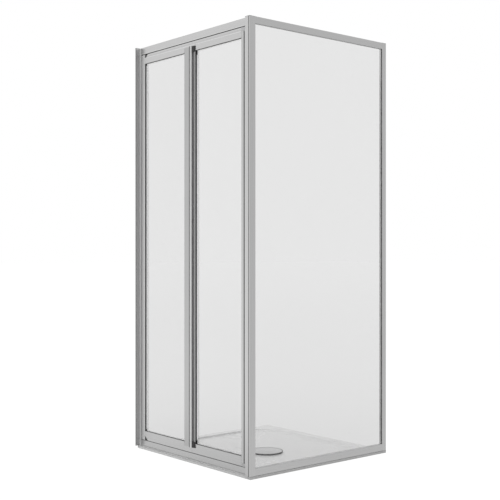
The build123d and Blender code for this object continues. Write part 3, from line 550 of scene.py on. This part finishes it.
def clear_glass(name, color):
    """Toughened glass: clear, with a trace of roller wave.

    Shadow and bounce rays go straight through it, with part of its tint.
    """
    material, tree, shader = node_material(name)
    wave = noise(tree, GLASS_WAVE, detail=1)
    wiped = noise(tree, GLASS_WIPES, detail=5)
    tree.links.new(shade(tree, wiped, color, dark=0.995, light=1.0), shader.inputs["Base Color"])
    shader.inputs["Roughness"].default_value = 0
    shader.inputs["IOR"].default_value = GLASS_IOR
    shader.inputs["Transmission Weight"].default_value = 1
    bump(tree, shader, wave, depth=0.02 * MILLIMETRE, strength=0.3)
    clear = tree.nodes.new("ShaderNodeBsdfTransparent")
    clear.inputs["Color"].default_value = [c ** LAMP_TINT for c in color] + [1]
    path = tree.nodes.new("ShaderNodeLightPath")
    shadow_or_bounce = calc(
        tree, "MAXIMUM", path.outputs["Is Shadow Ray"], path.outputs["Is Diffuse Ray"])
    cover_with(tree, shader, clear.outputs["BSDF"], shadow_or_bounce)
    return material


def coat(material, *nodes):
    """Gives CAD nodes a material."""
    for node in nodes:
        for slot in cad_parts[node].material_slots:
            slot.material = material


class CABIN_OT_tray(Operator):
    """Give the tray its white acrylic and the waste its chrome"""
    bl_idname = "cabin.finish_tray"
    bl_label = "Finish Tray and Waste"

    def execute(self, context):
        finish = settings().finish
        coat(sanitary_acrylic("sanitary_acrylic", finish.acrylic_color), "shower_tray")
        coat(turned_metal("waste_chrome", finish.chrome_color, roughness=0.12),
             "waste_flange", "waste_strainer")
        coat(turned_metal("cover_satin", finish.cover_color, roughness=0.34, lacquer=0.6),
             "waste_cover")
        return {"FINISHED"}


class CABIN_OT_profiles(Operator):
    """Give the frame and leaf profiles their satin anodised finish"""
    bl_idname = "cabin.finish_profiles"
    bl_label = "Finish Profiles"

    def execute(self, context):
        finish = settings().finish
        satin, dull = finish.metal_roughness, finish.dull_roughness
        for name, grain, color, roughness, nodes in (
                ("frame_aluminium_upright", "Z", finish.metal_color, satin, FRAME_UPRIGHTS),
                ("frame_aluminium_door_side", "X", finish.metal_color, satin, DOOR_SIDE_PROFILES),
                ("frame_aluminium_panel_side", "Y", finish.metal_color, satin,
                 PANEL_SIDE_PROFILES),
                # Painted shade: darker copies of the aluminium for the closing stile, the hinge
                # stiles, the bottom rails and the sill.
                ("closing_stile_shaded_aluminium", "Z", finish.closing_stile_shaded_color, satin, LEAF_UPRIGHTS),
                ("hinge_stile_1_shaded_aluminium", "Z", finish.hinge_stile_1_shaded_color, satin,
                 ("leaf_1_hinge_stile",)),
                ("hinge_stile_2_shaded_aluminium", "Z", finish.hinge_stile_2_shaded_color, satin,
                 ("leaf_2_hinge_stile",)),
                ("bottom_rail_shaded_aluminium", "X", finish.bottom_rail_shaded_color, satin,
                 LEAF_BOTTOM_RAILS),
                ("sill_shaded_aluminium", "X", finish.sill_shaded_color, satin, ("sill_track",)),
                # Painted light: lighter copies of the aluminium for the knuckle, the pivot stile
                # and the jamb.
                ("knuckle_lit_aluminium", "Z", finish.lit_metal_color, dull, KNUCKLE),
                ("pivot_stile_lit_aluminium", "Z", finish.pivot_stile_lit_color, dull,
                 ("leaf_1_pivot_stile",)),
                ("jamb_lit_aluminium", "Z", finish.jamb_lit_color, dull, ("door_jamb",))):
            coat(satin_metal(name, grain, color, roughness), *nodes)
        # Painted shade on the front of the wall profile's nose; behind it the profile takes the
        # lighter copy of the aluminium.
        nose = satin_metal("wall_profile_aluminium_shaded_nose", "Z", finish.nose_shade_color, satin)
        paint_light_or_shade_behind(nose, finish.lit_metal_color,
                    place=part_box("door_wall_profile")[0].y + NOSE_SHADE_DEPTH, width=MILLIMETRE)
        coat(nose, "door_wall_profile")
        return {"FINISHED"}


class CABIN_OT_glass(Operator):
    """Give the three panes their clear glass"""
    bl_idname = "cabin.finish_glass"
    bl_label = "Finish Glass"

    def execute(self, context):
        finish = settings().finish
        coat(clear_glass("panel_clear_glass", finish.panel_glass_color), "panel_glass")
        coat(clear_glass("leaf_1_clear_glass", finish.leaf_1_glass_shaded_color), "leaf_1_glass")
        coat(clear_glass("leaf_2_clear_glass", finish.leaf_2_glass_shaded_color), "leaf_2_glass")
        return {"FINISHED"}


class CABIN_OT_fittings(Operator):
    """Give screws, pins, plastic fittings, rollers and seals their finish"""
    bl_idname = "cabin.finish_fittings"
    bl_label = "Finish Fittings and Seals"

    def execute(self, context):
        finish = settings().finish
        coat(turned_metal("stainless_steel", finish.steel_color, roughness=0.25), *STEEL_FITTINGS)
        for name, color, roughness, nodes in (
                ("black_polyamide", finish.black_color, 0.5, BLACK_FITTINGS),
                ("cap_polyamide", finish.cap_color, 0.45, ("profile_caps",)),
                ("grey_polyamide", finish.grey_color, 0.45, ("guide_carriers",)),
                ("white_nylon", finish.nylon_color, 0.4, ROLLERS)):
            coat(moulded_plastic(name, color, roughness), *nodes)
        coat(sealing_rubber("sealing_rubber", finish.rubber_color), *SEALS)
        glazing = sealing_rubber("glazing_rubber", finish.rubber_color)
        # Painted light: the gaskets turn near white and glow just in front of the glass.
        paint_light_or_shade_behind(glazing, finish.glazing_lit_edge_color,
                    place=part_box("leaf_1_glass")[0].y - GLAZING_EDGE, width=MILLIMETRE / 2,
                    above=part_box("leaf_1_gaskets")[0].z + GLAZING_FOOT, glow=BEAD_PAINTED_LIGHT)
        coat(glazing, *LEAF_GASKETS)
        coat(sealing_rubber("hinge_rubber", finish.hinge_seal_color), "hinge_seal")
        coat(sealing_rubber("pale_silicone_and_light", finish.pale_seal_and_light_color), "panel_gaskets")
        # These two are for strips and rings that the next steps add: a grey joint that also paints
        # shade, and black rubber for painted shade.
        sealing_rubber("joint_silicone_and_shade", finish.joint_shade_color)
        sealing_rubber("painted_shade_rubber", finish.shade_strip_color)
        return {"FINISHED"}


def add_piece(name, rings, closed, material, body):
    """A piece of rings of points, each joined to the next.

    The last ring is joined to the first one, or else both ends are shut.
    """
    count = len(rings[0])
    faces = []
    for i in range(len(rings) if closed else len(rings) - 1):
        here, there = i * count, (i + 1) % len(rings) * count
        faces += [(here + k, here + (k + 1) % count, there + (k + 1) % count, there + k)
                  for k in range(count)]
    if not closed:
        faces += [tuple(range(count)), tuple(range((len(rings) - 1) * count, len(rings) * count))]
    mesh = bpy.data.meshes.new(name)
    mesh.from_pydata([point for ring in rings for point in ring], [], faces)
    shape = bmesh.new()
    shape.from_mesh(mesh)
    bmesh.ops.recalc_face_normals(shape, faces=shape.faces)
    for edge in shape.edges:
        edge.smooth = len(edge.link_faces) == 2 and edge.calc_face_angle() < SMOOTH_BELOW
    for face in shape.faces:
        face.smooth = True
    shape.to_mesh(mesh)
    shape.free()
    mesh.materials.append(material)
    piece = bpy.data.objects.new(name, mesh)
    bpy.context.scene.collection.objects.link(piece)
    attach(piece, body)
    return piece


def add_strip(name, section, low, high, material, body):
    """An upright strip with that section in plan."""
    rings = [[(x, y, z) for x, y in section] for z in (low, high)]
    return add_piece(name, rings, False, material, body)


def slab(left, right, front, back):
    """The corners of a strip's section, in plan."""
    return [(left, front), (right, front), (right, back), (left, back)]


class CABIN_OT_tray_cove(Operator):
    """Ease the edge of the tray's basin with a shallow cove"""
    bl_idname = "cabin.add_tray_cove"
    bl_label = "Add Tray Cove"

    def execute(self, context):
        low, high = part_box("shower_tray")
        half_x, half_y = (high.x - low.x) / 2 - TRAY_RIM, (high.y - low.y) / 2 - TRAY_RIM
        middle = (low + high) / 2
        fall = high.z - low.z - TRAY_FLOOR
        shares = [step / COVE_STEPS for step in range(COVE_STEPS + 1)]
        rings = []
        for quarter, (side_x, side_y) in enumerate(BASIN_CORNERS):
            centre_x = middle.x + side_x * (half_x - BASIN_RADIUS)
            centre_y = middle.y + side_y * (half_y - BASIN_RADIUS)
            for step in range(CORNER_STEPS + 1):
                turn = (quarter + step / CORNER_STEPS) * math.pi / 2
                steep = max(-math.cos(turn), 0) ** 2
                width = COVE_WIDTH + (COVE_ROOT_WIDTH - COVE_WIDTH) * steep
                section = [(width * share - COVE_LAP,
                            high.z + COVE_SKIN - fall * (1 - math.cos(math.pi * share)) / 2)
                           for share in shares]
                section += [(width - COVE_LAP, high.z - fall - COVE_SKIN),
                            (-COVE_LAP, high.z - COVE_ROOT)]
                rings.append([(centre_x + (BASIN_RADIUS - inset) * math.cos(turn),
                               centre_y + (BASIN_RADIUS - inset) * math.sin(turn), z)
                              for inset, z in section])
        add_piece("tray_cove", rings, True, bpy.data.materials["sanitary_acrylic"],
                  "cabin_frame")
        return {"FINISHED"}


class CABIN_OT_tray_seals(Operator):
    """Add the sealing joint round the tray, grey for the shade line there, and the black ring of
    painted shade under the waste cover's edge
    """
    bl_idname = "cabin.add_tray_seals"
    bl_label = "Add Tray Seals"

    def execute(self, context):
        low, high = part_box("shower_tray")
        # The joint's grey is partly painted shade, for the shade line between the frame and the
        # tray.
        section = [(SLIGHT_PLAY, high.z - TRAY_STEP_HEIGHT),
                   (SLIGHT_PLAY * 2, high.z - SLIGHT_PLAY * 2),
                   (TRAY_STEP, high.z - SLIGHT_PLAY), (TRAY_STEP, high.z - TRAY_STEP_HEIGHT)]
        rings = [[(x + side_x * inset, y + side_y * inset, z) for inset, z in section]
                 for x, y, side_x, side_y in ((low.x, low.y, 1, 1), (high.x, low.y, -1, 1),
                                              (high.x, high.y, -1, -1), (low.x, high.y, 1, -1))]
        add_piece("tray_joint_and_shade", rings, True, bpy.data.materials["joint_silicone_and_shade"],
                  "cabin_frame")

        # Painted shade: a black ring for the shadow gap under the cover's edge.
        low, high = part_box("waste_cover")
        middle, outer = (low + high) / 2, (high.x - low.x) / 2 + RING_STAND_OUT
        foot, head = low.z - RING_DROP, low.z + RING_HEAD
        section = [(outer - RING_WIDTH, head), (outer - RING_WIDTH, foot),
                   (outer - MILLIMETRE, foot), (outer, foot + MILLIMETRE), (outer, head)]
        turns = [math.tau * step / RING_STEPS for step in range(RING_STEPS)]
        rings = [[(middle.x + radius * math.cos(turn), middle.y + radius * math.sin(turn), z)
                  for radius, z in section] for turn in turns]
        add_piece("cover_shade_ring", rings, True, bpy.data.materials["painted_shade_rubber"],
                  "waste_cover")
        return {"FINISHED"}


class CABIN_OT_hinge_inlays(Operator):
    """Add the black strip of painted shade on the knuckle and its pin heads, and the seal in the
    gap beside them
    """
    bl_idname = "cabin.add_hinge_inlays"
    bl_label = "Add Hinge Inlays"

    def execute(self, context):
        # Painted shade: a black strip along the knuckle and over its pin heads.
        rubber = bpy.data.materials["painted_shade_rubber"]
        low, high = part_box("hinge_pins")
        middle, radius = (low + high) / 2, (high.x - low.x) / 2
        turns = [KNUCKLE_SHADE_FROM + (KNUCKLE_SHADE_TO - KNUCKLE_SHADE_FROM) * step / KNUCKLE_SHADE_STEPS
                 for step in range(KNUCKLE_SHADE_STEPS + 1)]
        outer, inner = radius + KNUCKLE_SHADE_STAND_OUT, radius - KNUCKLE_SHADE_STAND_OUT
        section = [(middle.x + reach * math.cos(turn), middle.y + reach * math.sin(turn))
                   for reach, run in ((outer, turns), (inner, turns[::-1])) for turn in run]
        foot, head = low.z + HINGE_END, high.z - HINGE_END
        add_strip("knuckle_painted_shade", section, foot + HINGE_PLAY, head - HINGE_PLAY, rubber, "leaf_1")
        add_strip("bottom_pin_painted_shade", section, low.z, foot, rubber, "leaf_2")
        add_strip("top_pin_painted_shade", section, head, high.z, rubber, "leaf_2")

        low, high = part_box("leaf_2_hinge_stile")
        front = low.y + GAP_SEAL_FRONT
        section = slab(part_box("knuckle_tube")[1].x + GAP_SEAL_PLAY, low.x - SLIGHT_PLAY,
                       front, front + GAP_SEAL_DEPTH)
        add_strip("knuckle_gap_seal", section, low.z, high.z,
                  bpy.data.materials["hinge_rubber"], "leaf_2")
        return {"FINISHED"}


class CABIN_OT_groove_inlays(Operator):
    """Add the black strips of painted shade in the grip and post grooves and beside the panel, and
    the pale strip of painted light beside the pivot stile
    """
    bl_idname = "cabin.add_groove_inlays"
    bl_label = "Add Groove Inlays"

    def execute(self, context):
        rubber = bpy.data.materials["painted_shade_rubber"]
        # Painted shade: a black strip in the grip groove.
        low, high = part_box("leaf_2_closing_stile")
        groove = high.x - GRIP_PLACE
        section = slab(groove - GRIP_LEFT, groove + GRIP_RIGHT, low.y - GRIP_OUT, low.y + GRIP_SEAT)
        add_strip("grip_groove_shade_strip", section, low.z + MILLIMETRE, high.z - MILLIMETRE, rubber, "leaf_2")

        # Painted shade: a black strip in the post's groove.
        low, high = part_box("corner_post")
        groove = high.x - POST_GROOVE_PLACE
        section = slab(groove - POST_SHADE_HALF, groove + POST_SHADE_HALF,
                       low.y - POST_SHADE_OUT, low.y + POST_SHADE_SEAT)
        add_strip("post_groove_shade_strip", section, low.z, high.z, rubber, "cabin_frame")

        # Painted light: a pale strip fills the shaded gap between the jamb and the pivot stile.
        low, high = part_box("leaf_1_pivot_stile")
        section = slab(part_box("door_jamb")[1].x + PIVOT_LIGHT_PLAY, low.x - SLIGHT_PLAY,
                       low.y + SLIGHT_PLAY, low.y + PIVOT_LIGHT_DEPTH)
        add_strip("pivot_gap_painted_light", section, low.z, high.z,
                  bpy.data.materials["pale_silicone_and_light"], "leaf_1")

        # A wedge seal between glass and wall profile, black as painted shade in the reveal.
        wall_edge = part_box("panel_wall_profile")[0].y
        section = slab(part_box("panel_glass")[1].x + SLIGHT_PLAY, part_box("panel_gaskets")[1].x,
                       wall_edge - WEDGE_WIDTH, wall_edge - SLIGHT_PLAY)
        foot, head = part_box("panel_bottom_rail")[1].z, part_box("panel_top_rail")[0].z
        add_strip("panel_wedge_seal_and_shade", section, foot, head, rubber, "cabin_frame")
        return {"FINISHED"}


class CABIN_OT_ribs(Operator):
    """Add the fine ribs along the header and the caps of the leaves, in lighter aluminium as a
    painted highlight
    """
    bl_idname = "cabin.add_ribs"
    bl_label = "Add Ribs"

    def execute(self, context):
        finish = settings().finish
        # Painted highlight: the ribs take the lighter copy of the aluminium.
        bright = satin_metal("rib_highlight_aluminium", "X", finish.lit_metal_color,
                             finish.metal_roughness)
        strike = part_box("strike_profile")[0].x
        for node, rib, body, slot in (
                ("header_track", HEADER_RIB, "cabin_frame", "frame_aluminium"),
                ("leaf_1_cap", CAP_RIB, "leaf_1", "leaf_aluminium"),
                ("leaf_2_cap", CAP_RIB, "leaf_2", "leaf_aluminium")):
            low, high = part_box(node)
            foot, head = low.z + rib[0], low.z + rib[1]
            section = [(low.y - RIB_OUT, foot + RIB_EASE), (low.y - RIB_OUT, head - RIB_EASE),
                       (low.y + RIB_SEAT, head), (low.y + RIB_SEAT, foot)]
            ends = (low.x + MILLIMETRE, min(high.x - MILLIMETRE, strike))
            rings = [[(x, y, z) for y, z in section] for x in ends]
            add_piece(f"{node}_rib", rings, False, bright, body)
        return {"FINISHED"}


class CABIN_OT_pane_corners(Operator):
    """Add the black corner pieces of the leaves' glazing"""
    bl_idname = "cabin.add_pane_corners"
    bl_label = "Add Pane Corners"

    def execute(self, context):
        black = bpy.data.materials["black_polyamide"]
        for leaf, stile in (("leaf_1", "leaf_1_pivot_stile"), ("leaf_2", "leaf_2_hinge_stile")):
            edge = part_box(stile)[1].x + CORNER_LIP
            front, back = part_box(f"{leaf}_gaskets")[0].y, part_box(f"{leaf}_glass")[0].y
            section = [(edge, front), (edge + CORNER_THICKNESS / 2, front),
                       (edge + CORNER_THICKNESS, back), (edge, back)]
            foot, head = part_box(f"{leaf}_bottom_rail")[1].z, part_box(f"{leaf}_top_rail")[0].z
            height = CORNER_HEIGHTS[leaf]
            for name, low, high in ((f"{leaf}_foot_corner", foot, foot + height),
                                    (f"{leaf}_head_corner", head - height, head)):
                piece = add_strip(name, section, low, high, black, leaf)
        return {"FINISHED"}


def white_world(ambient):
    """White where it is seen directly, with a soft shine from the left off gloss."""
    world = bpy.data.worlds.new("studio")
    bpy.context.scene.world = world
    world.use_nodes = True
    tree = world.node_tree
    background = next(n for n in tree.nodes if n.type == "BACKGROUND")
    background.inputs["Color"].default_value = (*WHITE, 1)
    strength = spread(tree, seen_directly(tree), ambient, 1, of=(0, 1))
    left = distance_along(tree, "Generated", SHINE_WAY)
    shine = calc(tree, "MULTIPLY", spread(tree, left, 0, WORLD_SHINE, of=WORLD_SHINE_SPAN),
                 mirrored(tree))
    tree.links.new(calc(tree, "ADD", strength, shine), background.inputs["Strength"])


def floor_glow(tree):
    """How bright the floor shows: painted shade near the cabin through glass, and a pool of painted
    light off gloss.
    """
    place = tree.nodes.new("ShaderNodeTexCoord")
    away = tree.nodes.new("ShaderNodeVectorMath")
    away.operation = "LENGTH"
    tree.links.new(place.outputs["Object"], away.inputs[0])
    reaches = calc(tree, "DIVIDE", away.outputs["Value"], FLOOR_PAINTED_SHADE_REACH)
    falloff = calc(tree, "DIVIDE", FLOOR_PAINTED_SHADE, calc(tree, "ADD", 1, reaches))
    path = tree.nodes.new("ShaderNodeLightPath")
    # Painted shade: the floor is darker near the cabin where it is seen through glass.
    fade = calc(tree, "MULTIPLY", falloff, path.outputs["Is Transmission Ray"])
    left = distance_along(tree, "Object", SHINE_WAY)
    # Painted light: a pool of light on the floor towards the left front, seen only in gloss.
    sheen = calc(tree, "MULTIPLY", spread(tree, left, 0, FLOOR_PAINTED_LIGHT, of=FLOOR_PAINTED_LIGHT_REACH),
                 mirrored(tree))
    return calc(tree, "ADD", calc(tree, "SUBTRACT", FLOOR_GLOW, fade), sheen)


def white_floor(color, whiteness):
    """A wide pale floor that shows white where it is seen directly and keeps the shadow."""
    mesh = bpy.data.meshes.new("floor")
    mesh.from_pydata([(side_x * FLOOR_HALF, side_y * FLOOR_HALF, 0)
                      for side_x, side_y in ((-1, -1), (1, -1), (1, 1), (-1, 1))],
                     [], [(0, 1, 2, 3)])
    floor = bpy.data.objects.new("floor", mesh)
    floor.location.z = cad_box[0].z - FLOOR_DROP
    bpy.context.scene.collection.objects.link(floor)
    material, tree, shader = node_material("pale_floor")
    shader.inputs["Base Color"].default_value = (*color, 1)
    shader.inputs["Roughness"].default_value = 1
    shader.inputs["Specular IOR Level"].default_value = 0
    white = tree.nodes.new("ShaderNodeEmission")
    tree.links.new(floor_glow(tree), white.inputs["Strength"])
    cover_with(tree, shader, white.outputs["Emission"],
               calc(tree, "MULTIPLY", seen_directly(tree), whiteness))
    mesh.materials.append(material)


def soft_light(name, place, target, size, power):
    """An area lamp that lights the cabin and isn't seen itself, in gloss or through glass."""
    lamp = bpy.data.lights.new(name, "AREA")
    lamp.shape = "RECTANGLE"
    lamp.size, lamp.size_y = size
    lamp.energy = power
    light = bpy.data.objects.new(name, lamp)
    light.location = place
    light.rotation_euler = (target - Vector(place)).to_track_quat("-Z", "Y").to_euler()
    light.visible_camera = light.visible_glossy = light.visible_transmission = False
    bpy.context.scene.collection.objects.link(light)


class CABIN_OT_studio(Operator):
    """Set the floor, the lamps and the camera"""
    bl_idname = "cabin.set_studio"
    bl_label = "Set Studio"

    def execute(self, context):
        studio = settings().studio
        scene = context.scene
        scene.view_settings.view_transform = "Standard"
        white_world(studio.ambient)
        white_floor(studio.floor_color, studio.floor_whiteness)
        middle = (cad_box[0] + cad_box[1]) / 2
        for name, (place, size), power in (("top_light", TOP_LIGHT, studio.top_power),
                                           ("key_light", KEY_LIGHT, studio.key_power),
                                           ("side_light", SIDE_LIGHT, studio.side_power)):
            soft_light(name, place, middle, size, power)

        camera = bpy.data.objects.new("camera", bpy.data.cameras.new("camera"))
        scene.collection.objects.link(camera)
        scene.camera = camera
        camera.data.sensor_width = SENSOR_WIDTH
        camera.data.lens = studio.lens
        camera.data.shift_y = studio.rise
        # The camera stands back from the cabin's free corner, against its view.
        low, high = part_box("shower_tray")
        corner = Vector((high.x, low.y, studio.height))
        look = Vector((-math.sin(studio.azimuth), math.cos(studio.azimuth), 0))
        right = Vector((math.cos(studio.azimuth), math.sin(studio.azimuth), 0))
        camera.location = corner - studio.distance * look - studio.side_step * right
        camera.rotation_euler = look.to_track_quat("-Z", "Y").to_euler()
        return {"FINISHED"}


class CabinSettings(PropertyGroup):
    """All settings of the cabin."""
    finish: PointerProperty(type=CabinFinish, name="Finish", description="Colours and surfaces")
    studio: PointerProperty(type=CabinStudio, name="Studio", description="Camera, lamps and floor")


class CABIN_PT_sidebar(Panel):
    """Steps and settings of the shower cabin"""
    bl_idname = "CABIN_PT_sidebar"
    bl_label = "Shower Cabin"
    bl_space_type = "VIEW_3D"
    bl_region_type = "UI"
    bl_category = "Shower Cabin"

    def draw(self, context):
        layout = self.layout
        for step in STEPS:
            layout.operator(step.bl_idname)
        for group in (settings().finish, settings().studio):
            box = layout.box()
            for name in group.bl_rna.properties.keys():
                if name not in ("rna_type", "name"):
                    box.prop(group, name)


STEPS = (
    CABIN_OT_tray, CABIN_OT_profiles, CABIN_OT_glass, CABIN_OT_fittings, CABIN_OT_tray_cove,
    CABIN_OT_tray_seals, CABIN_OT_hinge_inlays, CABIN_OT_groove_inlays, CABIN_OT_ribs,
    CABIN_OT_pane_corners, CABIN_OT_studio,
)
CLASSES = (CabinFinish, CabinStudio, CabinSettings, *STEPS, CABIN_PT_sidebar)


def register():
    """Registers the classes and gives scenes the cabin's settings."""
    for cls in CLASSES:
        bpy.utils.register_class(cls)
    bpy.types.Scene.shower_cabin = PointerProperty(
        type=CabinSettings, name="Shower cabin", description="Settings of the shower cabin")


def unregister():
    """Takes back what register did."""
    del bpy.types.Scene.shower_cabin
    for cls in reversed(CLASSES):
        bpy.utils.unregister_class(cls)


def main():
    """Registers the classes and builds the whole scene, one step after another."""
    register()
    for step in STEPS:
        family, name = step.bl_idname.split(".")
        getattr(getattr(bpy.ops, family), name)()


if __name__ == "__main__":
    main()
